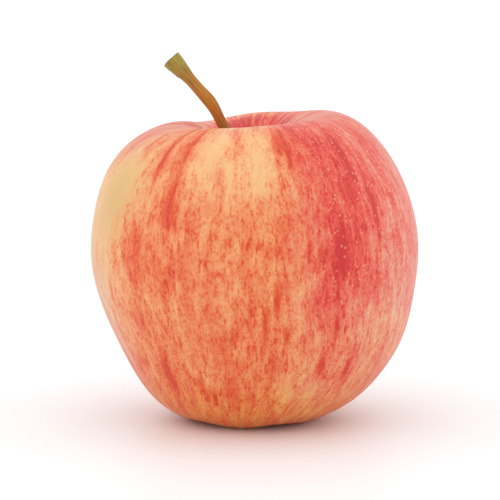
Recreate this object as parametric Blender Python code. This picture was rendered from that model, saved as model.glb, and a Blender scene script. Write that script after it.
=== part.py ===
"""A striped dessert apple: one fruit, its woody stalk, and the dried flower parts under it.

Units are metres and +Z is up. The origin lies on the plane that the fruit rests on, under the
middle of the fruit's bounding box. +X is to the right of the striped face, which looks towards -Y.
Run with: blender --background --python part.py
"""

from math import atan2, cos, exp, pi, radians, sin, sqrt, tan

import bmesh
import bpy
from mathutils import Matrix, Vector

# Fruit, measured along its own axis before its basal lobes are levelled.
FRUIT_DIAMETER = 0.0724
FRUIT_HEIGHT = 0.0668
WIDEST_HEIGHT = 0.0385
SHOULDER_RADIUS = 0.0170
FOOT_RADIUS = 0.0098
CAVITY_DEPTH = 0.0130
CAVITY_THROAT_RADIUS = 0.0034
BASIN_DEPTH = 0.0070
BASIN_FLOOR_RADIUS = 0.0042

# Five shallow lobes, one for each chamber of the core.
LOBES = 5
FOOT_LOBE_PHASE = radians(-100.0)
FOOT_LOBE_RISE = 0.0012
FLANK_LOBE_DEPTH = 0.0004
SHOULDER_LOBE_PHASE = radians(17.0)
SHOULDER_LOBE_FALL = 0.0011
SHOULDER_LOW_SIDE = radians(122.0)
SHOULDER_LOW_FALL = 0.0006
RESTING_FLAT = 0.00035

# Uneven growth: the flank is fuller on the red side, most of all low down, and the shoulder
# behind that side is the highest. The cavity, the basin and the stalk stay on the core's axis.
FLANK_OFFSET = 0.0012
LOW_SWELL = 0.0016
LOW_SWELL_HEIGHT = 0.0150
LOW_SWELL_SPREAD = 0.0120
SHOULDER_TILT = radians(4.0)
SHOULDER_HIGH_SIDE = radians(24.0)

# Stalk, from its root in the cavity floor to its broken tip.
STALK_HEIGHT = 0.0275
STALK_REACH = 0.0173
STALK_DIAMETER = 0.0027
STALK_ROOT_DIAMETER = 0.0032
STALK_TIP_DIAMETER = 0.0041
STALK_FLARE_LENGTH = 0.0070
SOCKET_DEPTH = 0.0018

# The stalk's bends, as shares of its reach and height: upright at the root, then a slight knee.
STALK_BENDS = (
    (0.00, 0.00),
    (0.00, 0.07),
    (0.05, 0.17),
    (0.16, 0.31),
    (0.30, 0.45),
    (0.44, 0.60),
    (0.65, 0.76),
    (1.00, 1.00),
)

# Dried flower under the fruit. The sepals stand round the rim of the basin's floor.
SEPALS = 5
SEPAL_WIDTH = 0.0026
SEPAL_TIP_WIDTH = 0.0002
SEPAL_THICKNESS = 0.0005
SEPAL_DROP = 0.0036
TUFT_DIAMETER = 0.0026
TUFT_LENGTH = 0.0034

# Clearance that every seated piece keeps to the fruit.
SEAT_GAP = 0.0003

# Mesh fineness.
FRUIT_SIDES = 60
STALK_SIDES = 14
STALK_STATIONS = 22
SEPAL_STATIONS = 7
TUFT_SIDES = 12
MERGE_DISTANCE = 1e-6


def clear_scene():
    for item in list(bpy.data.objects):
        bpy.data.objects.remove(item, do_unlink=True)


def finish(name, red, green, blue, roughness):
    """A Principled material for one kind of tissue."""
    material = bpy.data.materials.new(name)
    material.use_nodes = True
    shader = material.node_tree.nodes["Principled BSDF"]
    shader.inputs["Base Color"].default_value = (red, green, blue, 1.0)
    shader.inputs["Roughness"].default_value = roughness
    shader.inputs["Metallic"].default_value = 0.0
    return material


def make_object(name, bm, material):
    """Close the bmesh into a smooth-shaded object with one material."""
    bmesh.ops.recalc_face_normals(bm, faces=bm.faces)
    mesh = bpy.data.meshes.new(name)
    bm.to_mesh(mesh)
    bm.free()
    mesh.materials.append(material)
    mesh.shade_smooth()
    mesh.set_sharp_from_angle(angle=radians(50.0))
    piece = bpy.data.objects.new(name, mesh)
    bpy.context.collection.objects.link(piece)
    return piece


def bezier(start, start_handle, end_handle, end, steps):
    """Points along one cubic Bezier arc, leaving out its last point."""
    points = []
    for step in range(steps):
        t = step / steps
        s = 1.0 - t
        points.append(
            s * s * s * Vector(start)
            + 3.0 * s * s * t * Vector(start_handle)
            + 3.0 * s * t * t * Vector(end_handle)
            + t * t * t * Vector(end)
        )
    return points


def fruit_meridian():
    """Half outline as (radius, height), from the stalk's socket over the flank to the basin."""
    widest = FRUIT_DIAMETER / 2.0
    throat_height = FRUIT_HEIGHT - CAVITY_DEPTH
    socket_radius = STALK_ROOT_DIAMETER / 2.0 + SEAT_GAP
    socket_floor = throat_height - SOCKET_DEPTH
    throat = (CAVITY_THROAT_RADIUS, throat_height)
    crest = (SHOULDER_RADIUS, FRUIT_HEIGHT)
    flank = (widest, WIDEST_HEIGHT)
    foot = (FOOT_RADIUS, -RESTING_FLAT)
    basin = (BASIN_FLOOR_RADIUS, BASIN_DEPTH)

    cavity_width = SHOULDER_RADIUS - CAVITY_THROAT_RADIUS
    shoulder_width = widest - SHOULDER_RADIUS
    shoulder_drop = FRUIT_HEIGHT - WIDEST_HEIGHT
    foot_width = widest - FOOT_RADIUS
    basin_width = FOOT_RADIUS - BASIN_FLOOR_RADIUS

    points = [
        Vector((0.0, socket_floor)),
        Vector((socket_radius, socket_floor)),
        Vector((socket_radius, throat_height)),
    ]
    points += bezier(
        throat,
        (throat[0] + 0.10 * cavity_width, throat[1] + 0.45 * CAVITY_DEPTH),
        (crest[0] - 0.60 * cavity_width, crest[1]),
        crest,
        9,
    )
    points += bezier(
        crest,
        (crest[0] + 0.53 * shoulder_width, crest[1]),
        (flank[0], flank[1] + 0.52 * shoulder_drop),
        flank,
        12,
    )
    points += bezier(
        flank,
        (flank[0], flank[1] - 0.50 * WIDEST_HEIGHT),
        (foot[0] + 0.49 * foot_width, foot[1]),
        foot,
        13,
    )
    points += bezier(
        foot,
        (foot[0] - 0.55 * basin_width, foot[1]),
        (basin[0] + 0.15 * basin_width, basin[1] - 0.40 * BASIN_DEPTH),
        basin,
        6,
    )
    points.append(Vector(basin))
    points.append(Vector((0.0, BASIN_DEPTH)))
    return points


def bump(value, centre, width):
    """A smooth hill of height one at the centre."""
    return exp(-(((value - centre) / width) ** 2))


def ramp(value, start, end):
    """A smooth climb from zero at the start to one at the end."""
    share = min(1.0, max(0.0, (value - start) / (end - start)))
    return share * share * (3.0 - 2.0 * share)


def grow(point):
    """Move one point of the turned fruit to where uneven growth puts it."""
    radius = point.xy.length
    if radius < STALK_ROOT_DIAMETER:
        return point.copy()
    azimuth = atan2(point.y, point.x)
    foot_valley = 0.5 - 0.5 * cos(LOBES * (azimuth - FOOT_LOBE_PHASE))
    shoulder_valley = 0.5 - 0.5 * cos(LOBES * (azimuth - SHOULDER_LOBE_PHASE))
    widest = FRUIT_DIAMETER / 2.0
    outer = ramp(radius, FOOT_RADIUS, widest)

    grown = point.copy()
    grown.xy *= (radius - FLANK_LOBE_DEPTH * foot_valley * outer) / radius
    low_swell = LOW_SWELL * bump(point.z, LOW_SWELL_HEIGHT, LOW_SWELL_SPREAD)
    grown.x += (FLANK_OFFSET + low_swell) * outer
    if point.z < WIDEST_HEIGHT:
        foot_spread = FOOT_RADIUS - BASIN_FLOOR_RADIUS
        foot = bump(radius, FOOT_RADIUS, foot_spread) * ramp(radius, BASIN_FLOOR_RADIUS, FOOT_RADIUS)
        grown.z += FOOT_LOBE_RISE * foot_valley * foot
    else:
        shoulder = bump(radius, SHOULDER_RADIUS, 0.6 * SHOULDER_RADIUS)
        low_side = (0.5 + 0.5 * cos(azimuth - SHOULDER_LOW_SIDE)) ** 2
        fall = (SHOULDER_LOW_FALL + SHOULDER_LOBE_FALL * shoulder_valley) * low_side
        rise = tan(SHOULDER_TILT) * radius * cos(azimuth - SHOULDER_HIGH_SIDE)
        grown.z += (rise - fall) * shoulder
    return grown


def turn(outline, sides):
    """Spin a half outline of (radius, height) points into a closed body round the core's axis."""
    bm = bmesh.new()
    verts = [bm.verts.new((radius, 0.0, height)) for radius, height in outline]
    for upper, lower in zip(verts, verts[1:]):
        bm.edges.new((upper, lower))
    bmesh.ops.spin(
        bm,
        geom=bm.verts[:] + bm.edges[:],
        cent=(0.0, 0.0, 0.0),
        axis=(0.0, 0.0, 1.0),
        angle=2.0 * pi,
        steps=sides,
        use_merge=True,
    )
    bmesh.ops.remove_doubles(bm, verts=bm.verts, dist=MERGE_DISTANCE)
    return bm


def build_fruit(material):
    bm = turn(fruit_meridian(), FRUIT_SIDES)
    for vert in bm.verts:
        vert.co = grow(vert.co)

    # The lowest part of each basal lobe is pressed flat where the fruit rests on it.
    bmesh.ops.bisect_plane(
        bm,
        geom=bm.verts[:] + bm.edges[:] + bm.faces[:],
        dist=0.1 * MERGE_DISTANCE,
        plane_co=(0.0, 0.0, 0.0),
        plane_no=(0.0, 0.0, -1.0),
        clear_outer=True,
    )
    rims = [edge for edge in bm.edges if edge.is_boundary]
    bmesh.ops.holes_fill(bm, edges=rims, sides=0)
    return make_object("fruit", bm, material)


def stalk_station(share):
    """Centre and direction of the stalk at a share of its height, in its own upright plane."""
    reaches, rises = zip(*STALK_BENDS)
    leans = []
    for bend in range(len(STALK_BENDS)):
        before = max(bend - 1, 0)
        after = min(bend + 1, len(STALK_BENDS) - 1)
        leans.append((reaches[after] - reaches[before]) / (rises[after] - rises[before]))
    span = max(bend for bend in range(len(STALK_BENDS) - 1) if rises[bend] <= share)
    length = rises[span + 1] - rises[span]
    t = (share - rises[span]) / length
    step = reaches[span + 1] - reaches[span]
    bow = 3.0 * step - length * (2.0 * leans[span] + leans[span + 1])
    curve = length * (leans[span] + leans[span + 1]) - 2.0 * step
    reach = reaches[span] + length * leans[span] * t + bow * t * t + curve * t * t * t
    lean = leans[span] + (2.0 * bow * t + 3.0 * curve * t * t) / length
    centre = Vector((-reach * STALK_REACH, share * STALK_HEIGHT))
    heading = Vector((-lean * STALK_REACH, STALK_HEIGHT))
    return centre, heading.normalized()


def stalk_radius(centre):
    """Thick at the root, even along the shaft, and flared at the tip."""
    tip = stalk_station(1.0)[0]
    shaft = STALK_DIAMETER / 2.0
    root_swell = (STALK_ROOT_DIAMETER - STALK_DIAMETER) / 2.0
    tip_swell = (STALK_TIP_DIAMETER - STALK_DIAMETER) / 2.0
    flare = ramp((tip - centre).length, STALK_FLARE_LENGTH, 0.0)
    return shaft + root_swell * exp(-centre.y / STALK_ROOT_DIAMETER) + tip_swell * flare


def build_stalk(material, root_height):
    bm = bmesh.new()
    rings = []
    for station in range(STALK_STATIONS + 1):
        share = station / STALK_STATIONS
        centre, heading = stalk_station(share)
        place = Matrix.Translation((centre.x, 0.0, root_height + centre.y))
        tilt = Matrix.Rotation(Vector((0.0, 1.0)).angle_signed(heading), 4, "Y")
        ring = bmesh.ops.create_circle(
            bm,
            segments=STALK_SIDES,
            radius=stalk_radius(centre),
            cap_ends=station in (0, STALK_STATIONS),
            matrix=place @ tilt,
        )
        rings.append(list(dict.fromkeys(edge for vert in ring["verts"] for edge in vert.link_edges)))
    for lower, upper in zip(rings, rings[1:]):
        bmesh.ops.bridge_loops(bm, edges=lower + upper)
    return make_object("stem", bm, material)


def sepal_section(share, foot_radius, tip_radius):
    """Four corners of one cross-section of a sepal, which hangs down and curls inwards."""
    bend = share * pi / 2.0
    reach = foot_radius - tip_radius
    width = SEPAL_TIP_WIDTH + (SEPAL_WIDTH - SEPAL_TIP_WIDTH) * (1.0 - share) ** 0.7
    inner = Vector((foot_radius - reach * (1.0 - cos(bend)), 0.0, -SEPAL_DROP * sin(bend)))
    outward = Vector((SEPAL_DROP * cos(bend), 0.0, -reach * sin(bend))).normalized()
    side = Vector((0.0, width / 2.0, 0.0))
    outer = inner + SEPAL_THICKNESS * outward
    return (inner - side, inner + side, outer + side, outer - side)


def build_sepal(name, material, azimuth):
    """One dried calyx lobe: a tapered blade standing on the basin's floor beside the tuft."""
    rim_radius = BASIN_FLOOR_RADIUS - SEAT_GAP
    foot_radius = sqrt(rim_radius**2 - (SEPAL_WIDTH / 2.0) ** 2) - SEPAL_THICKNESS
    tip_radius = TUFT_DIAMETER / 2.0 + SEAT_GAP
    bm = bmesh.new()
    rows = []
    for station in range(SEPAL_STATIONS + 1):
        corners = sepal_section(station / SEPAL_STATIONS, foot_radius, tip_radius)
        rows.append([bm.verts.new(corner) for corner in corners])
    for upper, lower in zip(rows, rows[1:]):
        for side in range(4):
            after = (side + 1) % 4
            bm.faces.new((upper[side], upper[after], lower[after], lower[side]))
    bm.faces.new(rows[0])
    bm.faces.new(rows[-1])
    seat = Matrix.Translation((0.0, 0.0, BASIN_DEPTH - SEAT_GAP))
    bmesh.ops.transform(bm, matrix=seat @ Matrix.Rotation(azimuth, 4, "Z"), verts=bm.verts)
    return make_object(name, bm, material)


def build_tuft(material):
    """Dried stamens and styles, standing as one tapered bundle in the middle of the basin."""
    radius = TUFT_DIAMETER / 2.0
    seat = BASIN_DEPTH - SEAT_GAP
    outline = [
        (0.0, seat),
        (radius, seat),
        (0.75 * radius, seat - 0.35 * TUFT_LENGTH),
        (0.55 * radius, seat - 0.70 * TUFT_LENGTH),
        (0.60 * radius, seat - 0.90 * TUFT_LENGTH),
        (0.0, seat - TUFT_LENGTH),
    ]
    return make_object("stamen_tuft", turn(outline, TUFT_SIDES), material)


def main():
    clear_scene()
    skin = finish("striped skin", 0.86, 0.33, 0.17, 0.35)
    bark = finish("stalk bark", 0.36, 0.20, 0.06, 0.70)
    dried_leaf = finish("dried sepal", 0.20, 0.12, 0.06, 0.85)
    dried_thread = finish("dried stamen", 0.12, 0.07, 0.04, 0.90)

    fruit = build_fruit(skin)
    root_height = FRUIT_HEIGHT - CAVITY_DEPTH - SOCKET_DEPTH + SEAT_GAP
    pieces = [fruit, build_stalk(bark, root_height)]
    for index in range(SEPALS):
        azimuth = FOOT_LOBE_PHASE + 2.0 * pi * index / SEPALS
        pieces.append(build_sepal(f"sepal_{index + 1}", dried_leaf, azimuth))
    pieces.append(build_tuft(dried_thread))

    # One empty carries every piece and puts the fruit's middle over the origin.
    apple = bpy.data.objects.new("apple", None)
    bpy.context.collection.objects.link(apple)
    xs = [vert.co.x for vert in fruit.data.vertices]
    ys = [vert.co.y for vert in fruit.data.vertices]
    apple.location = (-(min(xs) + max(xs)) / 2.0, -(min(ys) + max(ys)) / 2.0, 0.0)
    for piece in pieces:
        piece.parent = apple


main()
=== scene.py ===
from math import atan2, cos, degrees, exp, pi, radians, sin, sqrt, tan

import bmesh
import bpy
from mathutils import Matrix, Vector, noise


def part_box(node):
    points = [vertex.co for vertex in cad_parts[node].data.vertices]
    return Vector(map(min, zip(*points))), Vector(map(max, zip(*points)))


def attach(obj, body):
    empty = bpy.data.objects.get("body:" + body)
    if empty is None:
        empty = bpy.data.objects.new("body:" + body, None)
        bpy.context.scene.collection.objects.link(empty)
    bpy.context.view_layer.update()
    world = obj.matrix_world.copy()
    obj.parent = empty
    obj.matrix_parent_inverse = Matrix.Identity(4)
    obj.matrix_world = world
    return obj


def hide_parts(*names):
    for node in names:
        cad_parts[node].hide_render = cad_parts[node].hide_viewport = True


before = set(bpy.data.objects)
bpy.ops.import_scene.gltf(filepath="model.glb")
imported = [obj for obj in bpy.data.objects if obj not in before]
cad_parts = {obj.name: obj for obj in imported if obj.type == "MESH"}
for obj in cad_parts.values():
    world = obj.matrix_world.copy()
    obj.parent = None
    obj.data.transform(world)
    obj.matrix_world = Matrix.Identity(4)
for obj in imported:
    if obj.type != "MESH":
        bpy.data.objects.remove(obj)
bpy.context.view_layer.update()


# --- The fruit ---------------------------------------------------------------------------------
# A ripe dessert apple: crisp flesh inside a thin waxy skin, grown in one piece round a core of
# five chambers. It swells unevenly, so the flank bulges on the sunny side, the shoulders stand at
# different heights, and five low lobes ring the basin that it stands on.
FRUIT_DIAMETER = 0.0724
FRUIT_HEIGHT = 0.0668
WIDEST_HEIGHT = 0.0385
SHOULDER_RADIUS = 0.0170
FOOT_RADIUS = 0.0098
CAVITY_DEPTH = 0.0130
CAVITY_THROAT_RADIUS = 0.0034
BASIN_DEPTH = 0.0070
BASIN_FLOOR_RADIUS = 0.0042
STALK_ROOT_DIAMETER = 0.0032
SOCKET_DEPTH = 0.0018
SEAT_GAP = 0.0003
LOBES = 5
FOOT_LOBE_PHASE = radians(-100.0)
FOOT_LOBE_RISE = 0.0012
FLANK_LOBE_DEPTH = 0.0004
SHOULDER_LOBE_PHASE = radians(17.0)
SHOULDER_LOBE_FALL = 0.0011
SHOULDER_LOW_SIDE = radians(122.0)
SHOULDER_LOW_FALL = 0.0006
RESTING_FLAT = 0.00035
FLANK_OFFSET = 0.0012
LOW_SWELL = 0.0016
LOW_SWELL_HEIGHT = 0.0150
LOW_SWELL_SPREAD = 0.0120
SHOULDER_TILT = radians(4.0)
SHOULDER_HIGH_SIDE = radians(24.0)
MERGE_DISTANCE = 1e-6
FRUIT_SIDES = 400
RIM_DIP = 0.0005
RIM_DIP_AZIMUTH = 186.0
RIM_DIP_SPREAD = 24.0
FLANK_RIPPLE_MM = 0.25
FOLD_DEPTH = 0.0006

# Small swellings and flats: azimuth in degrees clockwise from the front, height, spread in
# degrees, spread in height, and how far the skin stands out, all lengths in millimetres.
SWELLINGS = (
    (-92, 56, 26, 9, 0.5),
    (-80, 17, 30, 11, 0.5),
    (62, 58, 30, 9, -0.6),
    (72, 5, 30, 6, 0.9),
    (150, 45, 34, 15, 0.5),
    (-150, 30, 30, 14, -0.5),
)


def bump(value, centre, width):
    """A smooth hill of height one at the centre."""
    return exp(-(((value - centre) / width) ** 2))


def ramp(value, start, end):
    """A smooth climb from zero at the start to one at the end."""
    share = min(1.0, max(0.0, (value - start) / (end - start)))
    return share * share * (3.0 - 2.0 * share)


def bezier(start, start_handle, end_handle, end, steps):
    """Points along one cubic Bezier arc, leaving out its last point."""
    points = []
    for step in range(steps):
        t = step / steps
        s = 1.0 - t
        points.append(
            s * s * s * Vector(start)
            + 3.0 * s * s * t * Vector(start_handle)
            + 3.0 * s * t * t * Vector(end_handle)
            + t * t * t * Vector(end)
        )
    return points


def fruit_meridian():
    """Half outline as (radius, height), from the stalk's socket over the flank to the basin."""
    widest = FRUIT_DIAMETER / 2.0
    throat_height = FRUIT_HEIGHT - CAVITY_DEPTH
    socket_radius = STALK_ROOT_DIAMETER / 2.0 + SEAT_GAP
    throat = (CAVITY_THROAT_RADIUS, throat_height)
    crest = (SHOULDER_RADIUS, FRUIT_HEIGHT)
    flank = (widest, WIDEST_HEIGHT)
    foot = (FOOT_RADIUS, -RESTING_FLAT)
    basin = (BASIN_FLOOR_RADIUS, BASIN_DEPTH)
    cavity_width = SHOULDER_RADIUS - CAVITY_THROAT_RADIUS
    shoulder_width = widest - SHOULDER_RADIUS
    shoulder_drop = FRUIT_HEIGHT - WIDEST_HEIGHT
    foot_width = widest - FOOT_RADIUS
    basin_width = FOOT_RADIUS - BASIN_FLOOR_RADIUS

    points = [
        Vector((0.0, throat_height - SOCKET_DEPTH)),
        Vector((socket_radius, throat_height - SOCKET_DEPTH)),
        Vector((socket_radius, throat_height)),
    ]
    points += bezier(
        throat,
        (throat[0] + 0.10 * cavity_width, throat[1] + 0.45 * CAVITY_DEPTH),
        (crest[0] - 0.60 * cavity_width, crest[1]),
        crest,
        34,
    )
    points += bezier(
        crest,
        (crest[0] + 0.53 * shoulder_width, crest[1]),
        (flank[0], flank[1] + 0.52 * shoulder_drop),
        flank,
        48,
    )
    points += bezier(
        flank,
        (flank[0], flank[1] - 0.50 * WIDEST_HEIGHT),
        (foot[0] + 0.49 * foot_width, foot[1]),
        foot,
        56,
    )
    points += bezier(
        foot,
        (foot[0] - 0.55 * basin_width, foot[1]),
        (basin[0] + 0.15 * basin_width, basin[1] - 0.40 * BASIN_DEPTH),
        basin,
        18,
    )
    points.append(Vector(basin))
    points.append(Vector((0.0, BASIN_DEPTH)))
    return points


def grow(point):
    """Move one point of the turned fruit to where uneven growth puts it."""
    radius = point.xy.length
    if radius < STALK_ROOT_DIAMETER:
        return point.copy()
    azimuth = atan2(point.y, point.x)
    foot_valley = 0.5 - 0.5 * cos(LOBES * (azimuth - FOOT_LOBE_PHASE))
    shoulder_valley = 0.5 - 0.5 * cos(LOBES * (azimuth - SHOULDER_LOBE_PHASE))
    outer = ramp(radius, FOOT_RADIUS, FRUIT_DIAMETER / 2.0)
    grown = point.copy()
    grown.xy *= (radius - FLANK_LOBE_DEPTH * foot_valley * outer) / radius
    low_swell = LOW_SWELL * bump(point.z, LOW_SWELL_HEIGHT, LOW_SWELL_SPREAD)
    grown.x += (FLANK_OFFSET + low_swell) * outer
    if point.z < WIDEST_HEIGHT:
        foot_spread = FOOT_RADIUS - BASIN_FLOOR_RADIUS
        foot = bump(radius, FOOT_RADIUS, foot_spread) * ramp(radius, BASIN_FLOOR_RADIUS, FOOT_RADIUS)
        grown.z = max(0.0, grown.z + FOOT_LOBE_RISE * foot_valley * foot)
    else:
        shoulder = bump(radius, SHOULDER_RADIUS, 0.6 * SHOULDER_RADIUS)
        low_side = (0.5 + 0.5 * cos(azimuth - SHOULDER_LOW_SIDE)) ** 2
        fall = (SHOULDER_LOW_FALL + SHOULDER_LOBE_FALL * shoulder_valley) * low_side
        rise = tan(SHOULDER_TILT) * radius * cos(azimuth - SHOULDER_HIGH_SIDE)
        grown.z += (rise - fall) * shoulder
    return grown


def turn(bm, outline, sides):
    """Spin a half outline of (radius, height) points into a closed body round the core's axis."""
    along = bm.verts.layers.float.new("along")
    verts = []
    distance = 0.0
    for place, (radius, height) in enumerate(outline):
        if place:
            distance += (outline[place] - outline[place - 1]).length
        vert = bm.verts.new((radius, 0.0, height))
        vert[along] = distance
        verts.append(vert)
    for upper, lower in zip(verts, verts[1:]):
        bm.edges.new((upper, lower))
    bmesh.ops.spin(
        bm,
        geom=bm.verts[:] + bm.edges[:],
        cent=(0.0, 0.0, 0.0),
        axis=(0.0, 0.0, 1.0),
        angle=2.0 * pi,
        steps=sides,
        use_merge=True,
    )
    bmesh.ops.remove_doubles(bm, verts=bm.verts, dist=MERGE_DISTANCE)
    bmesh.ops.recalc_face_normals(bm, faces=bm.faces)
    return along


def make_piece(name, bm, material, node):
    """Turn a finished bmesh into a smooth piece that stands for a CAD node."""
    mesh = bpy.data.meshes.new(name)
    bm.to_mesh(mesh)
    bm.free()
    mesh.materials.append(material)
    mesh.shade_smooth()
    piece = bpy.data.objects.new(name, mesh)
    bpy.context.scene.collection.objects.link(piece)
    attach(piece, "root")
    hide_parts(node)


def linear(hex_colour):
    """An sRGB hex colour as linear RGBA."""
    channels = [int(hex_colour[place : place + 2], 16) / 255.0 for place in (1, 3, 5)]
    channels = [c / 12.92 if c <= 0.04045 else ((c + 0.055) / 1.055) ** 2.4 for c in channels]
    return (*channels, 1.0)


def add_node(material, kind, inputs, **settings):
    """Add a node; each input takes a plain value or another node's output."""
    node = material.node_tree.nodes.new(kind)
    for name, value in settings.items():
        setattr(node, name, value)
    for name, value in inputs.items():
        if isinstance(value, bpy.types.NodeSocket):
            material.node_tree.links.new(value, node.inputs[name])
        else:
            node.inputs[name].default_value = value
    return node


def colour_stops(node, stops):
    """Set a Color Ramp's stops from (position, hex colour) pairs."""
    elements = node.color_ramp.elements
    while len(elements) < len(stops):
        elements.new(1.0)
    for element, (position, hex_colour) in zip(elements, stops):
        element.position = position
        element.color = linear(hex_colour)


# The blush lies where the sun reached the skin. Each patch is an azimuth in degrees clockwise
# from the front, a height in millimetres, a spread in each, and how much red it adds or takes.
BLUSH_BASE = 0.56
BLUSH_PATCHES = (
    (-63, 53, 15, 8, -0.50),
    (-82, 40, 15, 16, -0.34),
    (-64, 30, 11, 12, -0.28),
    (-17, 62, 10, 6, -0.40),
    (4, 61, 8, 5.5, -0.40),
    (-8, 55, 22, 5, -0.14),
    (-40, 40, 14, 13, 0.10),
    (-46, 43, 6, 6, 0.10),
    (-33, 49, 5, 6, 0.12),
    (4, 38, 17, 12, 0.06),
    (17, 34, 3.5, 15, -0.16),
    (35, 41, 8.0, 10, 0.16),
    (40, 55, 15, 10, 0.21),
    (62, 28, 12, 12, -0.16),
    (48, 24, 7, 7, -0.12),
    (-41, 15, 5, 6, 0.14),
    (-15, 16, 20, 8, 0.06),
    (24, 10, 9, 5, -0.22),
    (40, 6, 16, 5, -0.16),
    (100, 52, 22, 14, 0.06),
    (150, 36, 26, 20, -0.28),
    (-165, 54, 24, 10, -0.26),
    (-135, 36, 22, 22, 0.14),
    (36, 64.5, 20, 3.5, 0.14),
    (17, 61, 1.0, 4, 0.26),
    (12.5, 62, 0.8, 3.5, 0.24),
    (-6, 61, 0.8, 4.5, 0.22),
    (1, 60, 0.7, 3, 0.16),
    (-41, 60, 1.5, 5.5, 0.46),
    (-29.5, 62, 1.5, 4, 0.34),
    (-30, 53, 1.6, 6, 0.31),
    (-60.5, 31, 1.2, 3.5, 0.50),
    (-63, 26, 1.3, 3, 0.43),
    (-72, 38, 1.6, 4, 0.26),
    (-39, 16, 2.2, 3, 0.31),
    (-38, 11.5, 1.5, 2.5, 0.34),
    (-54, 15.5, 4, 1.4, 0.29),
    (49, 48, 0.9, 9, 0.38),
    (44, 60, 1.5, 5, 0.34),
    (31, 40, 2.4, 6, 0.29),
    (36.5, 37, 1.8, 4, 0.19),
    (20, 42, 1.2, 4.5, 0.29),
    (24, 41, 1.1, 4, 0.22),
    (9, 32, 0.9, 3, 0.50),
    (13.5, 24, 1.2, 1.9, 0.60),
    (5.5, 26, 1.0, 4.5, 0.38),
    (32, 25, 1.1, 3.2, 0.58),
    (-17, 9, 0.9, 1.6, 0.50),
    (29, 16, 1.6, 1.8, 0.31),
    (41, 16, 1.4, 2.6, 0.31),
    (-22, 12, 1.6, 2.6, 0.26),
    (15, 64, 2.2, 2.6, 0.31),
    (120, 30, 1.4, 8, 0.43),
    (-118, 48, 1.6, 9, 0.41),
    (-142, 26, 1.3, 6, 0.41),
    (172, 24, 1.5, 7, 0.36),
    (134, 54, 1.5, 6, 0.36),
    (-100, 22, 1.3, 5, 0.36),
)


def spread_blush(azimuth, height):
    """How red the skin is at an azimuth in degrees and a height in millimetres."""
    red = BLUSH_BASE
    for patch_azimuth, patch_height, width, rise, amount in BLUSH_PATCHES:
        turned = (azimuth - patch_azimuth + 180.0) % 360.0 - 180.0
        if abs(turned) < 3.0 * width:
            red += amount * bump(turned, 0.0, width) * bump(height, patch_height, rise)
    return red


# Inside the cavity the skin is red all round, up to a lip that stands higher at the back. Streaks
# crowd together there: azimuth, spread in degrees, and red added.
CAVITY_RED = 0.92
CAVITY_LIP = 0.0175
CAVITY_LIP_RISE = 0.0070
CAVITY_LIP_BLEND = 0.0040
CAVITY_STREAKS = (
    (-160, 16, 0.10),
    (166, 5, -0.50),
    (157, 1.6, -0.46),
    (152, 1.4, -0.46),
    (147, 1.5, -0.50),
    (141, 1.5, -0.40),
    (134, 2.0, -0.46),
    (126, 3.0, -0.36),
    (112, 5.0, -0.30),
    (-118, 18, -0.26),
    (-80, 20, -0.36),
)


fruit_bm = bmesh.new()
along = turn(fruit_bm, fruit_meridian(), FRUIT_SIDES)
streak_layer = fruit_bm.verts.layers.float_vector.new("flow")
blush_layer = fruit_bm.verts.layers.float.new("blush")
sun_and_sheen_layer = fruit_bm.verts.layers.float.new("sun_and_sheen")
unripe_and_sheen_layer = fruit_bm.verts.layers.float.new("unripe_and_sheen")
pit_layer = fruit_bm.verts.layers.float.new("pit")
crowd_layer = fruit_bm.verts.layers.float.new("crowd")
low_layer = fruit_bm.verts.layers.float.new("low")

flank_mm = 500.0 * FRUIT_DIAMETER
for vert in fruit_bm.verts:
    around = vert.co.xy.normalized() if vert.co.xy.length > MERGE_DISTANCE else Vector((0.0, -1.0))
    vert[streak_layer] = (flank_mm * around.x, flank_mm * around.y, 1000.0 * vert[along])

for vert in fruit_bm.verts:
    vert.co = grow(vert.co)
near_corner, far_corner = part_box("fruit")
xs = [vert.co.x for vert in fruit_bm.verts]
ys = [vert.co.y for vert in fruit_bm.verts]
core = Vector(
    (
        (near_corner.x + far_corner.x - min(xs) - max(xs)) / 2.0,
        (near_corner.y + far_corner.y - min(ys) - max(ys)) / 2.0,
        0.0,
    )
)

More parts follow.
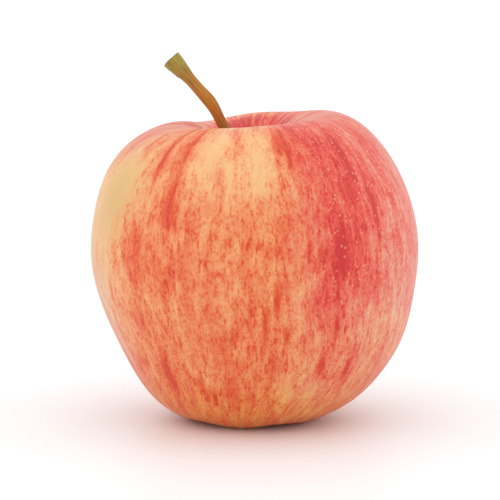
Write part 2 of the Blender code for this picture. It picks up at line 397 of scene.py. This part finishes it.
for vert in fruit_bm.verts:
    radius = vert.co.xy.length
    azimuth = degrees(atan2(vert.co.x, -vert.co.y))
    height = 1000.0 * vert.co.z
    outside = ramp(vert[along], 0.014, 0.020) * ramp(vert[along], 0.110, 0.100)
    stand = 0.0
    for swell_azimuth, swell_height, width, rise, amount in SWELLINGS:
        turned = (azimuth - swell_azimuth + 180.0) % 360.0 - 180.0
        stand += amount * bump(turned, 0.0, width) * bump(height, swell_height, rise)
    stand += FLANK_RIPPLE_MM * noise.noise(vert.co * 70.0)
    around = vert.co.xy.normalized() if radius > MERGE_DISTANCE else Vector((0.0, 0.0))
    vert.co.xy += around * 0.001 * stand * outside

    # The far rim dips behind the stalk.
    behind = (azimuth - RIM_DIP_AZIMUTH + 180.0) % 360.0 - 180.0
    rim = bump(radius, SHOULDER_RADIUS, 0.5 * SHOULDER_RADIUS) * ramp(vert[along], 0.060, 0.045)
    vert.co.z -= RIM_DIP * bump(behind, 0.0, RIM_DIP_SPREAD) * rim

    # Folds run down the cavity's wall, where the growing shoulders crowd against the stalk.
    folded = bump(vert[along], 0.013, 0.006)
    fold = noise.noise(Vector((around.x * 5.0, around.y * 5.0, 0.3)))
    vert.co.z += FOLD_DEPTH * fold * folded * ramp(radius, 0.004, 0.008)

    lip = CAVITY_LIP + CAVITY_LIP_RISE * (0.5 - 0.5 * cos(radians(azimuth))) ** 2
    inside = ramp(vert[along], lip, lip - CAVITY_LIP_BLEND)
    red = spread_blush(azimuth, height) * (1.0 - inside) + CAVITY_RED * inside
    for streak_azimuth, width, amount in CAVITY_STREAKS:
        turned = (azimuth - streak_azimuth + 180.0) % 360.0 - 180.0
        red += amount * bump(turned, 0.0, width) * ramp(vert[along], 0.024, 0.016)
    vert[blush_layer] = red

    # The red is crimson on the sunny right cheek and in the cavity, and warmer elsewhere. Low on the
    # left and over the left shoulder it is crimson too, as painted sheen: its pale pink stands for
    # the bright wall's reflection.
    rosy = ramp(azimuth, 6.0, 34.0) * ramp(azimuth, 178.0, 140.0)
    rosy *= 0.45 + 0.55 * ramp(height, 18.0, 36.0)
    # Painted sheen: the left side, low down and over the shoulder, takes the pale crimson-pink.
    painted_left_sheen = 0.75 * ramp(azimuth, -54.0, -72.0) * ramp(azimuth, -176.0, -140.0)
    painted_left_sheen *= max(ramp(height, 44.0, 30.0), ramp(height, 56.0, 62.0))
    vert[sun_and_sheen_layer] = max(rosy, painted_left_sheen, 0.8 * inside)

    # Leaves kept the sun off the left shoulder, which stays green-yellow. The pale band down the left
    # edge below it is painted sheen: the bright wall's reflection where the skin turns away.
    green = bump(azimuth, -62.0, 15.0) * bump(height, 51.0, 10.0)
    # The edge term is painted sheen: a pale band down the left edge for the bright wall's reflection.
    edge = ramp(azimuth, -48.0, -84.0) * ramp(azimuth, -125.0, -95.0) * bump(height, 42.0, 18.0)
    vert[unripe_and_sheen_layer] = max(green, 0.6 * edge) * (1.0 - inside)

    # The pits at both ends, the shoulder where streaks crowd, and the foot have looks of their own;
    # the foot's deeper orange is painted shade low on the fruit.
    vert[pit_layer] = ramp(vert[along], 0.010, 0.0) + ramp(vert[along], 0.112, 0.120)
    vert[crowd_layer] = ramp(vert[along], 0.032, 0.018)
    vert[low_layer] = ramp(height, 16.0, 4.0)

# The map for baked colours unrolls the skin: round the core across, along the meridian up.
bake_map = fruit_bm.loops.layers.uv.new("OFBake")
map_turns = 1.0 + 1.0 / FRUIT_SIDES
meridian_length = max(vert[along] for vert in fruit_bm.verts)
for face in fruit_bm.faces:
    turns = {}
    for vert in face.verts:
        if vert.co.xy.length > MERGE_DISTANCE:
            turns[vert] = atan2(vert.co.y, vert.co.x) / (2.0 * pi) % 1.0
    seam = max(turns.values()) - min(turns.values()) > 0.5
    for vert, turned in turns.items():
        turns[vert] = turned + 1.0 if seam and turned < 0.5 else turned
    middle = sum(turns.values()) / len(turns)
    for loop in face.loops:
        across = turns.get(loop.vert, middle) / map_turns
        loop[bake_map].uv = (across, 1.0 - loop.vert[along] / meridian_length)
bmesh.ops.transform(fruit_bm, matrix=Matrix.Translation(core), verts=fruit_bm.verts)

# Waxed apple skin: a thin red pigment in streaks and dots over a yellow ground, under a natural
# wax that gives a soft sheen and pale edges.
skin = bpy.data.materials.new("waxed apple skin")
skin.use_nodes = True
surface = skin.node_tree.nodes["Principled BSDF"]

flow = add_node(skin, "ShaderNodeAttribute", {}, attribute_name="flow").outputs["Vector"]
blush, sun_and_sheen, unripe_and_sheen, pit, crowd, low = (
    add_node(skin, "ShaderNodeAttribute", {}, attribute_name=name).outputs["Fac"]
    for name in ("blush", "sun_and_sheen", "unripe_and_sheen", "pit", "crowd", "low")
)
place = add_node(skin, "ShaderNodeTexCoord", {}).outputs["Object"]
place_mm = add_node(
    skin, "ShaderNodeMapping", {"Vector": place, "Scale": (1000.0, 1000.0, 1000.0)}
).outputs[0]

# The pigment's patterns follow the way the skin grew. Each has its size in millimetres across,
# round and along the fruit, and then the detail, roughness and distortion of its noise.
growth = {}
for name, size_mm, detail, roughness, distortion in (
    ("streaks", (2.8, 2.8, 20.0), 3.0, 0.55, 0.25),
    ("threads", (0.9, 0.9, 6.0), 3.0, 0.60, 0.20),
    ("clusters", (5.0, 5.0, 8.0), 2.0, 0.50, 0.50),
    ("mottle", (1.9, 1.9, 3.6), 3.0, 0.55, 0.15),
    ("blotches", (0.8, 0.8, 2.1), 2.0, 0.50, 0.10),
    ("pinkness", (5.0, 5.0, 8.0), 2.0, 0.55, 0.30),
):
    scale = [1.0 / size for size in size_mm]
    scaled_flow = add_node(skin, "ShaderNodeMapping", {"Vector": flow, "Scale": scale})
    growth[name] = add_node(
        skin,
        "ShaderNodeTexNoise",
        {
            "Vector": scaled_flow.outputs[0],
            "Scale": 1.0,
            "Detail": detail,
            "Roughness": roughness,
            "Distortion": distortion,
        },
    ).outputs["Fac"]

# The pigment's finest grains lie about 0.65 mm apart.
grain_place = add_node(
    skin, "ShaderNodeMapping", {"Vector": place_mm, "Scale": (1.55, 1.55, 1.25)}
)
growth["grains"] = add_node(
    skin, "ShaderNodeTexVoronoi", {"Vector": grain_place.outputs[0], "Scale": 1.0}
).outputs["Distance"]

# Blotches and grains have sharper edges than the rest.
for name, start, end in (("blotches", 0.52, 0.68), ("grains", 0.60, 0.10)):
    growth[name] = add_node(
        skin,
        "ShaderNodeMapRange",
        {"Value": growth[name], "From Min": start, "From Max": end},
        interpolation_type="SMOOTHSTEP",
    ).outputs[0]

# The streaks show more where they crowd together over the shoulder. So do the threads between
# them, which show more on the sunny side, and in the painted sheen on the left, as well.
streaking = add_node(
    skin, "ShaderNodeMath", {0: crowd, 1: 1.70, 2: 0.48}, operation="MULTIPLY_ADD"
).outputs[0]
sunny_threading = add_node(
    skin, "ShaderNodeMath", {0: sun_and_sheen, 1: 0.30, 2: 0.32}, operation="MULTIPLY_ADD"
).outputs[0]
threading = add_node(
    skin, "ShaderNodeMath", {0: crowd, 1: 0.60, 2: sunny_threading}, operation="MULTIPLY_ADD"
).outputs[0]

# Each pattern adds to the pigment its difference from its middle value, times a weight.
pigment = blush
for name, middle, weight in (
    ("streaks", 0.50, streaking),
    ("threads", 0.50, threading),
    ("clusters", 0.50, 0.52),
    ("mottle", 0.50, 0.50),
    ("blotches", 0.22, 0.22),
    ("grains", 0.40, 0.17),
):
    apart = add_node(
        skin, "ShaderNodeMath", {0: growth[name], 1: middle}, operation="SUBTRACT"
    ).outputs[0]
    pigment = add_node(
        skin, "ShaderNodeMath", {0: apart, 1: weight, 2: pigment}, operation="MULTIPLY_ADD"
    ).outputs[0]

# Where the light was weak the pigment is warm, and in full sun crimson. Patches of it are pinker.
# On the left the crimson's pale pink is painted sheen.
warm = add_node(skin, "ShaderNodeValToRGB", {"Fac": pigment})
colour_stops(
    warm,
    (
        (0.10, "#E9B47C"),
        (0.27, "#E9A46C"),
        (0.40, "#E6905A"),
        (0.52, "#E27A47"),
        (0.64, "#DE632E"),
        (0.78, "#D8480F"),
        (0.92, "#CC3606"),
    ),
)
crimson = add_node(skin, "ShaderNodeValToRGB", {"Fac": pigment})
colour_stops(
    crimson,
    (
        (0.10, "#DFAD94"),
        (0.27, "#DF937A"),
        (0.40, "#DE7C66"),
        (0.52, "#DE6650"),
        (0.64, "#DD5040"),
        (0.78, "#D53628"),
        (0.92, "#C41E1C"),
    ),
)
pinker = add_node(
    skin, "ShaderNodeMath", {0: growth["pinkness"], 1: 0.46}, operation="SUBTRACT"
).outputs[0]
rosiness = add_node(
    skin, "ShaderNodeMath", {0: pinker, 1: 1.10, 2: sun_and_sheen}, operation="MULTIPLY_ADD"
).outputs[0]

# Where little light reached the skin it keeps its green-yellow ground, between the streaks. Down
# the left edge the same pale ground is painted sheen.
bare = add_node(
    skin, "ShaderNodeMapRange", {"Value": pigment, "From Min": 0.62, "From Max": 0.30}
).outputs[0]
pale_ground_and_sheen = add_node(skin, "ShaderNodeMath", {0: unripe_and_sheen, 1: bare}, operation="MULTIPLY").outputs[0]

# Lenticels, the skin's breathing pores, about 0.5 mm across and 1.3 mm apart: pale on the red
# cheek, and brown and fainter on yellow.
pore_place = add_node(
    skin, "ShaderNodeMapping", {"Vector": place_mm, "Scale": (0.75, 0.75, 0.75)}
)
pores = add_node(
    skin, "ShaderNodeTexVoronoi", {"Vector": pore_place.outputs[0], "Scale": 1.0}
)
pore = add_node(
    skin,
    "ShaderNodeMapRange",
    {"Value": pores.outputs["Distance"], "From Min": 0.27, "From Max": 0.12, "To Max": 0.42},
).outputs[0]
# The pores are also paler and stronger in the painted sheen on the left.
pore_share = add_node(
    skin, "ShaderNodeMapRange", {"Value": sun_and_sheen, "To Min": 0.35, "To Max": 1.0}
).outputs[0]
pore = add_node(skin, "ShaderNodeMath", {0: pore, 1: pore_share}, operation="MULTIPLY").outputs[0]
pore_colour = add_node(
    skin,
    "ShaderNodeMix",
    {0: sun_and_sheen, 6: linear("#97813F"), 7: linear("#E8AE92")},
    data_type="RGBA",
).outputs[2]

# The colours lie in layers: crimson over the warm red (on the left a painted pink sheen), a
# deeper orange round the foot (painted shade), the bare ground (down the left edge a painted pale
# sheen), the pores, and last the corky russet that lines the cavity and the basin.
skin_colour = warm.outputs[0]
for cover, colour, blend in (
    # Crimson over the warm red, and on the left a painted pink sheen.
    (rosiness, crimson.outputs[0], "MIX"),
    # A deeper orange round the foot: painted shade.
    (low, linear("#FFF8B8"), "MULTIPLY"),
    # The pale ground, and down the left edge a painted pale sheen.
    (pale_ground_and_sheen, linear("#D3A866"), "MIX"),
    (pore, pore_colour, "MIX"),
    (pit, linear("#A9793B"), "MIX"),
):
    skin_colour = add_node(
        skin,
        "ShaderNodeMix",
        {0: cover, 6: skin_colour, 7: colour},
        data_type="RGBA",
        blend_type=blend,
    ).outputs[2]

bumps = add_node(
    skin,
    "ShaderNodeBump",
    {"Strength": 0.25, "Distance": 0.0002, "Height": growth["mottle"]},
)
skin.node_tree.links.new(skin_colour, surface.inputs["Base Color"])
skin.node_tree.links.new(bumps.outputs[0], surface.inputs["Normal"])
surface.inputs["Roughness"].default_value = 0.42
surface.inputs["IOR"].default_value = 1.45
surface.inputs["Coat Weight"].default_value = 0.12
surface.inputs["Coat Roughness"].default_value = 0.25

make_piece("apple_fruit", fruit_bm, skin, "fruit")


# --- The stalk -----------------------------------------------------------------------------------
# The woody stalk that the fruit hung from: dry bark over long fibres, ribbed along its length. It
# has a knee on one side, and its flared tip ends in the rough scar where it parted from the tree.
STALK_HEIGHT = 0.0275
STALK_REACH = 0.0173
STALK_DIAMETER = 0.0027
STALK_TIP_DIAMETER = 0.0041
STALK_FLARE_LENGTH = 0.0070
STALK_BENDS = (
    (0.00, 0.00),
    (0.00, 0.07),
    (0.05, 0.17),
    (0.16, 0.31),
    (0.30, 0.45),
    (0.44, 0.60),
    (0.65, 0.76),
    (1.00, 1.00),
)
STALK_SIDES = 56
STALK_RINGS = 150
RIB_DEPTH = 0.00009
KNEE_SHARE = 0.65
KNEE_SPREAD = 0.075
KNEE_SWELL = 0.00026
WAIST_SHARE = 0.47
WAIST_SPREAD = 0.13
WAIST_DEPTH = 0.00022
LEAN_SHARE = 0.50
LEAN_SPREAD = 0.16
LEAN_REACH = 0.00035
COLLAR_SHARE = 0.885
COLLAR_BLEND = 0.01
COLLAR_STEP = 0.00020
SCAR_DISH = 0.00025
SCAR_SLANT = 0.00012


def stalk_station(share):
    """Centre and direction of the stalk at a share of its height, in its own upright plane."""
    reaches, rises = zip(*STALK_BENDS)
    leans = []
    for bend in range(len(STALK_BENDS)):
        before = max(bend - 1, 0)
        after = min(bend + 1, len(STALK_BENDS) - 1)
        leans.append((reaches[after] - reaches[before]) / (rises[after] - rises[before]))
    span = max(bend for bend in range(len(STALK_BENDS) - 1) if rises[bend] <= share)
    length = rises[span + 1] - rises[span]
    t = (share - rises[span]) / length
    step = reaches[span + 1] - reaches[span]
    bow = 3.0 * step - length * (2.0 * leans[span] + leans[span + 1])
    curve = length * (leans[span] + leans[span + 1]) - 2.0 * step
    reach = reaches[span] + length * leans[span] * t + bow * t * t + curve * t * t * t
    lean = leans[span] + (2.0 * bow * t + 3.0 * curve * t * t) / length
    centre = Vector((-reach * STALK_REACH, share * STALK_HEIGHT))
    heading = Vector((-lean * STALK_REACH, STALK_HEIGHT))
    return centre, heading.normalized()


def stalk_radius(centre):
    """Thick at the root, even along the shaft, and flared at the tip."""
    tip = stalk_station(1.0)[0]
    shaft = STALK_DIAMETER / 2.0
    root_swell = (STALK_ROOT_DIAMETER - STALK_DIAMETER) / 2.0
    tip_swell = (STALK_TIP_DIAMETER - STALK_DIAMETER) / 2.0
    flare = ramp((tip - centre).length, STALK_FLARE_LENGTH, 0.0)
    return shaft + root_swell * exp(-centre.y / STALK_ROOT_DIAMETER) + tip_swell * flare


# A straight rod of unit size first, with a few rings on its end for the scar.
stalk_bm = bmesh.new()
bmesh.ops.create_cone(
    stalk_bm,
    cap_ends=True,
    segments=STALK_SIDES,
    radius1=1.0,
    radius2=1.0,
    depth=1.0,
    matrix=Matrix.Translation((0.0, 0.0, 0.5)),
)
long_edges = [e for e in stalk_bm.edges if abs(e.verts[0].co.z - e.verts[1].co.z) > 0.5]
bmesh.ops.subdivide_edges(stalk_bm, edges=long_edges, cuts=STALK_RINGS, use_grid_fill=True)
scar = [face for face in stalk_bm.faces if face.calc_center_median().z > 0.9999]
for ring_width in (0.10, 0.16, 0.22, 0.24):
    bmesh.ops.inset_region(stalk_bm, faces=scar, thickness=ring_width, use_even_offset=True)
bmesh.ops.poke(stalk_bm, faces=scar)

share_layer = stalk_bm.verts.layers.float.new("share")
scar_layer = stalk_bm.verts.layers.float.new("scar")
fibre_layer = stalk_bm.verts.layers.float_vector.new("fibre")
root_height = FRUIT_HEIGHT - CAVITY_DEPTH - SOCKET_DEPTH + SEAT_GAP
for vert in stalk_bm.verts:
    share = min(max(vert.co.z, 0.0), 1.0)
    spoke = Vector(vert.co.xy)
    out = spoke.length
    on_scar = ramp(share, 0.9995, 1.0) * ramp(out, 1.0, 0.93)
    centre, heading = stalk_station(share)
    side = Vector((heading.y, 0.0, -heading.x))
    rough = noise.noise(Vector((2.2 * spoke.x, 2.2 * spoke.y, 6.0 * share)))
    ribs = noise.noise(Vector((4.5 * spoke.x, 4.5 * spoke.y, 1.5 * share)))
    radius = stalk_radius(centre) + RIB_DEPTH * (rough + ribs) * (1.0 + 1.2 * share)
    radius += KNEE_SWELL * bump(share, KNEE_SHARE, KNEE_SPREAD) * max(0.0, spoke.x)
    radius -= WAIST_DEPTH * bump(share, WAIST_SHARE, WAIST_SPREAD) * (0.6 + 0.4 * spoke.x)
    below_collar = ramp(share, COLLAR_SHARE + COLLAR_BLEND, COLLAR_SHARE - COLLAR_BLEND)
    radius -= COLLAR_STEP * below_collar * max(0.0, -spoke.x)
    pitting = noise.noise(Vector((3.0 * spoke.x, 3.0 * spoke.y, 0.7)))
    drop = SCAR_DISH * on_scar * (1.0 + 1.5 * pitting)
    drop += SCAR_SLANT * ramp(-spoke.x, 0.35, 1.0) * ramp(share, 0.94, 1.0)
    drop += 0.5 * SCAR_DISH * rough * ramp(share, 0.96, 1.0)
    vert[share_layer] = share
    vert[scar_layer] = on_scar
    vert[fibre_layer] = (1.35 * spoke.x, 1.35 * spoke.y, 1000.0 * share * STALK_HEIGHT)
    lean = LEAN_REACH * bump(share, LEAN_SHARE, LEAN_SPREAD)
    vert.co = (
        core
        + Vector((centre.x - lean, 0.0, root_height + centre.y))
        + radius * (spoke.x * side + spoke.y * Vector((0.0, 1.0, 0.0)))
        - drop * Vector((heading.x, 0.0, heading.y))
    )
bmesh.ops.recalc_face_normals(stalk_bm, faces=stalk_bm.faces)

# Dry bark: matt, with fine fibres, rust-brown along the shaft and still olive green at the tip.
bark = bpy.data.materials.new("dry stalk bark")
bark.use_nodes = True
bark_surface = bark.node_tree.nodes["Principled BSDF"]
up_stalk = add_node(bark, "ShaderNodeAttribute", {}, attribute_name="share").outputs["Fac"]
scar_cover = add_node(bark, "ShaderNodeAttribute", {}, attribute_name="scar").outputs["Fac"]
fibre = add_node(bark, "ShaderNodeAttribute", {}, attribute_name="fibre").outputs["Vector"]

# Fibres 0.35 mm wide and 3 mm long, and wider patches where the bark has aged.
bark_grain = {}
for name, width_mm, length_mm, detail, roughness in (
    ("fibres", 0.35, 3.0, 3.0, 0.6),
    ("patches", 1.1, 2.2, 2.0, 0.5),
):
    scale = (1.0 / width_mm, 1.0 / width_mm, 1.0 / length_mm)
    scaled_fibre = add_node(bark, "ShaderNodeMapping", {"Vector": fibre, "Scale": scale})
    bark_grain[name] = add_node(
        bark,
        "ShaderNodeTexNoise",
        {
            "Vector": scaled_fibre.outputs[0],
            "Scale": 1.0,
            "Detail": detail,
            "Roughness": roughness,
        },
    ).outputs["Fac"]
ageing = add_node(
    bark,
    "ShaderNodeMath",
    {0: bark_grain["patches"], 1: 0.30, 2: -0.15},
    operation="MULTIPLY_ADD",
)
aged_share = add_node(
    bark, "ShaderNodeMath", {0: up_stalk, 1: ageing.outputs[0]}, operation="ADD"
)
bark_tone = add_node(bark, "ShaderNodeValToRGB", {"Fac": aged_share.outputs[0]})
colour_stops(
    bark_tone,
    (
        (0.00, "#855E20"),
        (0.40, "#9C6A18"),
        (0.54, "#B0660C"),
        (0.66, "#BC7C1C"),
        (0.80, "#B67C2C"),
        (0.89, "#A28430"),
        (0.98, "#A09434"),
    ),
)
shade = add_node(bark, "ShaderNodeValToRGB", {"Fac": bark_grain["fibres"]})
colour_stops(shade, ((0.30, "#B89C7C"), (0.50, "#F0E6D6"), (0.70, "#FFFFFF")))
bark_colour = add_node(
    bark,
    "ShaderNodeMix",
    {0: 0.75, 6: bark_tone.outputs[0], 7: shade.outputs[0]},
    data_type="RGBA",
    blend_type="MULTIPLY",
).outputs[2]
bark_colour = add_node(
    bark,
    "ShaderNodeMix",
    {0: scar_cover, 6: bark_colour, 7: linear("#6E4728")},
    data_type="RGBA",
).outputs[2]
bark_bumps = add_node(
    bark,
    "ShaderNodeBump",
    {"Strength": 0.5, "Distance": 0.0001, "Height": bark_grain["fibres"]},
)
bark.node_tree.links.new(bark_colour, bark_surface.inputs["Base Color"])
bark.node_tree.links.new(bark_bumps.outputs[0], bark_surface.inputs["Normal"])
bark_surface.inputs["Roughness"].default_value = 0.50
bark_surface.inputs["IOR"].default_value = 1.45

make_piece("apple_stalk", stalk_bm, bark, "stem")


# --- The sepals ------------------------------------------------------------------------------------
# Five dried lobes of the flower's calyx, thin and downy, which stand round the floor of the basin
# and curl in over its middle. Each grew from the rim of the fruit's eye.
SEPALS = 5
SEPAL_WIDTH = 0.0026
SEPAL_TIP_WIDTH = 0.0002
SEPAL_THICKNESS = 0.0005
SEPAL_DROP = 0.0036
TUFT_DIAMETER = 0.0026
BLADE_THICKNESS = 0.00018
BLADE_CURL = 0.00028
BLADE_WRINKLE = 0.00010

# Dried leaf: matt brown, with a pale down that dulls it, 0.3 mm mottling and no gloss.
dried_leaf = bpy.data.materials.new("dried downy leaf")
dried_leaf.use_nodes = True
leaf_surface = dried_leaf.node_tree.nodes["Principled BSDF"]
leaf_place = add_node(dried_leaf, "ShaderNodeTexCoord", {}).outputs["Object"]
down = add_node(
    dried_leaf,
    "ShaderNodeTexNoise",
    {"Vector": leaf_place, "Scale": 1.0 / 0.0003, "Detail": 3.0, "Roughness": 0.7},
).outputs["Fac"]
leaf_tone = add_node(dried_leaf, "ShaderNodeValToRGB", {"Fac": down})
colour_stops(leaf_tone, ((0.32, "#3E2C1C"), (0.50, "#6A4F33"), (0.68, "#9B8465")))
leaf_bumps = add_node(
    dried_leaf, "ShaderNodeBump", {"Strength": 0.6, "Distance": 0.0001, "Height": down}
)
dried_leaf.node_tree.links.new(leaf_tone.outputs[0], leaf_surface.inputs["Base Color"])
dried_leaf.node_tree.links.new(leaf_bumps.outputs[0], leaf_surface.inputs["Normal"])
leaf_surface.inputs["Roughness"].default_value = 0.9

rim_radius = BASIN_FLOOR_RADIUS - SEAT_GAP
blade_foot = sqrt(rim_radius**2 - (SEPAL_WIDTH / 2.0) ** 2) - SEPAL_THICKNESS
blade_tip = TUFT_DIAMETER / 2.0 + SEAT_GAP
for index in range(SEPALS):
    sepal_bm = bmesh.new()
    bmesh.ops.create_grid(sepal_bm, x_segments=26, y_segments=12, size=0.5)
    for vert in sepal_bm.verts:
        share = vert.co.x + 0.5
        across = 2.0 * vert.co.y
        bend = share * pi / 2.0
        reach = blade_foot - blade_tip
        half_width = 0.5 * (SEPAL_TIP_WIDTH + (SEPAL_WIDTH - SEPAL_TIP_WIDTH) * (1.0 - share) ** 0.7)
        inner = Vector((blade_foot - reach * (1.0 - cos(bend)), 0.0, -SEPAL_DROP * sin(bend)))
        outward = Vector((SEPAL_DROP * cos(bend), 0.0, -reach * sin(bend))).normalized()
        wrinkle = noise.noise(Vector((5.0 * share, 2.0 * across, 3.0 * index)))
        lift = BLADE_CURL * across * across * (1.0 - 0.5 * share) + BLADE_WRINKLE * (0.5 + wrinkle)
        vert.co = inner + lift * outward + Vector((0.0, across * half_width, 0.0))
    bmesh.ops.recalc_face_normals(sepal_bm, faces=sepal_bm.faces)
    bmesh.ops.solidify(sepal_bm, geom=sepal_bm.faces[:], thickness=BLADE_THICKNESS)
    bmesh.ops.recalc_face_normals(sepal_bm, faces=sepal_bm.faces)
    seat = Matrix.Translation(core + Vector((0.0, 0.0, BASIN_DEPTH - 0.2 * SEAT_GAP)))
    spot = Matrix.Rotation(FOOT_LOBE_PHASE + 2.0 * pi * index / SEPALS, 4, "Z")
    bmesh.ops.transform(sepal_bm, matrix=seat @ spot, verts=sepal_bm.verts)
    make_piece(f"apple_sepal_{index + 1}", sepal_bm, dried_leaf, f"sepal_{index + 1}")


# --- The stamens and styles ------------------------------------------------------------------------
# What is left of the middle of the flower: twenty dried stamens with their anthers, round five
# styles that are joined at the foot. They hang from a small cushion in the eye of the basin.
TUFT_LENGTH = 0.0034
STAMENS = 20
STYLES = 5
FILAMENT_RADIUS = 0.00009
STYLE_RADIUS = 0.00013
THREAD_WAVE = 0.00012
ANTHER_LENGTH = 0.00055


def hang_thread(bm, azimuth, root_out, tip_out, length, thickness):
    """One thread that hangs from the basin's floor and splays outwards; returns its tip."""
    thread_bm = bmesh.new()
    bmesh.ops.create_cone(
        thread_bm,
        cap_ends=True,
        segments=8,
        radius1=0.7 * thickness,
        radius2=thickness,
        depth=1.0,
        matrix=Matrix.Translation((0.0, 0.0, -0.5)),
    )
    uprights = [edge for edge in thread_bm.edges if edge.calc_length() > 0.5]
    bmesh.ops.subdivide_edges(thread_bm, edges=uprights, cuts=7, use_grid_fill=True)
    away = Vector((cos(azimuth), sin(azimuth), 0.0))
    across = Vector((-away.y, away.x, 0.0))
    for vert in thread_bm.verts:
        share = -vert.co.z
        out = root_out + (tip_out - root_out) * share * share
        wave = THREAD_WAVE * sin(5.0 * share + 7.0 * azimuth)
        flat = vert.co.x * away + vert.co.y * across
        vert.co = out * away + wave * share * across + flat - Vector((0.0, 0.0, share * length))
    thread = bpy.data.meshes.new("thread")
    thread_bm.to_mesh(thread)
    thread_bm.free()
    bm.from_mesh(thread)
    bpy.data.meshes.remove(thread)
    tip_wave = THREAD_WAVE * sin(5.0 + 7.0 * azimuth)
    return tip_out * away + tip_wave * across - Vector((0.0, 0.0, length))


tuft_bm = bmesh.new()
bmesh.ops.create_uvsphere(
    tuft_bm,
    u_segments=32,
    v_segments=16,
    radius=0.5 * TUFT_DIAMETER,
    matrix=Matrix.Diagonal((0.92, 0.92, 0.35, 1.0)),
)
for index in range(STAMENS):
    azimuth = 2.0 * pi * index / STAMENS + 0.12 * sin(11.0 * index)
    length = TUFT_LENGTH * (0.78 + 0.14 * sin(4.7 * index)) - ANTHER_LENGTH / 2.0
    tip_out = TUFT_DIAMETER * (0.26 + 0.07 * sin(2.9 * index))
    tip = hang_thread(tuft_bm, azimuth, 0.40 * TUFT_DIAMETER, tip_out, length, FILAMENT_RADIUS)
    bmesh.ops.create_icosphere(
        tuft_bm,
        subdivisions=2,
        radius=0.5 * ANTHER_LENGTH,
        matrix=Matrix.Translation(tip) @ Matrix.Diagonal((0.45, 0.45, 1.0, 1.0)),
    )
for index in range(STYLES):
    azimuth = 2.0 * pi * index / STYLES
    hang_thread(
        tuft_bm, azimuth, 0.07 * TUFT_DIAMETER, 0.16 * TUFT_DIAMETER, 0.92 * TUFT_LENGTH, STYLE_RADIUS
    )
bmesh.ops.recalc_face_normals(tuft_bm, faces=tuft_bm.faces)
bmesh.ops.transform(
    tuft_bm,
    matrix=Matrix.Translation(core + Vector((0.0, 0.0, BASIN_DEPTH - 0.5 * SEAT_GAP))),
    verts=tuft_bm.verts,
)

# Dried threads: dark brown and matt, lighter where the anthers have split.
dried_thread = bpy.data.materials.new("dried flower threads")
dried_thread.use_nodes = True
thread_surface = dried_thread.node_tree.nodes["Principled BSDF"]
thread_place = add_node(dried_thread, "ShaderNodeTexCoord", {}).outputs["Object"]
grain = add_node(
    dried_thread,
    "ShaderNodeTexNoise",
    {"Vector": thread_place, "Scale": 1.0 / 0.0004, "Detail": 2.0, "Roughness": 0.6},
).outputs["Fac"]
thread_tone = add_node(dried_thread, "ShaderNodeValToRGB", {"Fac": grain})
colour_stops(thread_tone, ((0.35, "#2C1D13"), (0.52, "#4C3523"), (0.68, "#7D6040")))
dried_thread.node_tree.links.new(thread_tone.outputs[0], thread_surface.inputs["Base Color"])
thread_surface.inputs["Roughness"].default_value = 0.85

make_piece("apple_stamen_tuft", tuft_bm, dried_thread, "stamen_tuft")


# --- Floor, lights and camera --------------------------------------------------------------------
# A white tabletop that runs out of sight. A white room with brighter side walls lights it, and
# one faint softbox in front rounds the fruit.
FLOOR_HALF_WIDTH = 6.0
CAMERA_LENS_MM = 195.7
CAMERA_DISTANCE = 0.6
CAMERA_LIFT = radians(8.0)
CAMERA_AIM = Vector((-0.001, 0.0, 0.0376))

floor_bm = bmesh.new()
bmesh.ops.create_grid(floor_bm, x_segments=8, y_segments=8, size=FLOOR_HALF_WIDTH)
floor_mesh = bpy.data.meshes.new("tabletop")
floor_bm.to_mesh(floor_mesh)
floor_bm.free()
white_laminate = bpy.data.materials.new("white laminate")
white_laminate.use_nodes = True
laminate = white_laminate.node_tree.nodes["Principled BSDF"]
laminate.inputs["Base Color"].default_value = linear("#F6F9FA")
laminate.inputs["Roughness"].default_value = 0.45
floor_mesh.materials.append(white_laminate)
floor = bpy.data.objects.new("tabletop", floor_mesh)
bpy.context.scene.collection.objects.link(floor)


def grey_stops(node, stops):
    """Set a Color Ramp's stops from (position, linear grey) pairs."""
    elements = node.color_ramp.elements
    while len(elements) < len(stops):
        elements.new(1.0)
    for element, (position, grey) in zip(elements, stops):
        element.position = position
        element.color = (grey, grey, grey, 1.0)


room = bpy.data.worlds.new("white room")
room.use_nodes = True
background = room.node_tree.nodes["Background"]
direction = add_node(room, "ShaderNodeTexCoord", {}).outputs["Generated"]
compass = add_node(room, "ShaderNodeSeparateXYZ", {0: direction})
sky = add_node(room, "ShaderNodeValToRGB", {"Fac": compass.outputs[2]})
grey_stops(sky, ((0.06, 0.80), (0.12, 0.55), (0.45, 0.68), (1.0, 0.92)))
sideways = add_node(room, "ShaderNodeMath", {0: compass.outputs[0]}, operation="ABSOLUTE").outputs[0]
side_walls = add_node(room, "ShaderNodeValToRGB", {"Fac": sideways})
grey_stops(side_walls, ((0.45, 0.0), (0.90, 1.0)))
walls = add_node(
    room,
    "ShaderNodeMix",
    {0: side_walls.outputs[0], 6: sky.outputs[0], 7: (0.95, 0.95, 0.95, 1.0)},
    data_type="RGBA",
)
room.node_tree.links.new(walls.outputs[2], background.inputs["Color"])
background.inputs["Strength"].default_value = 1.43
bpy.context.scene.world = room

softbox_light = bpy.data.lights.new("front softbox", "AREA")
softbox_light.size = 0.7
softbox_light.energy = 0.3
softbox = bpy.data.objects.new("front softbox", softbox_light)
softbox.location = (-0.30, -0.90, 0.50)
softbox_facing = Vector((0.0, 0.0, 0.03)) - softbox.location
softbox.rotation_euler = softbox_facing.to_track_quat("-Z", "Y").to_euler()
bpy.context.scene.collection.objects.link(softbox)

camera_data = bpy.data.cameras.new("camera")
camera_data.lens = CAMERA_LENS_MM
camera_data.sensor_width = 36.0
camera = bpy.data.objects.new("camera", camera_data)
view_line = Vector((0.0, -cos(CAMERA_LIFT), sin(CAMERA_LIFT)))
camera.location = CAMERA_AIM + CAMERA_DISTANCE * view_line
camera.rotation_euler = (radians(90.0) - CAMERA_LIFT, 0.0, 0.0)
bpy.context.scene.collection.objects.link(camera)
bpy.context.scene.camera = camera
bpy.context.scene.view_settings.view_transform = "Standard"
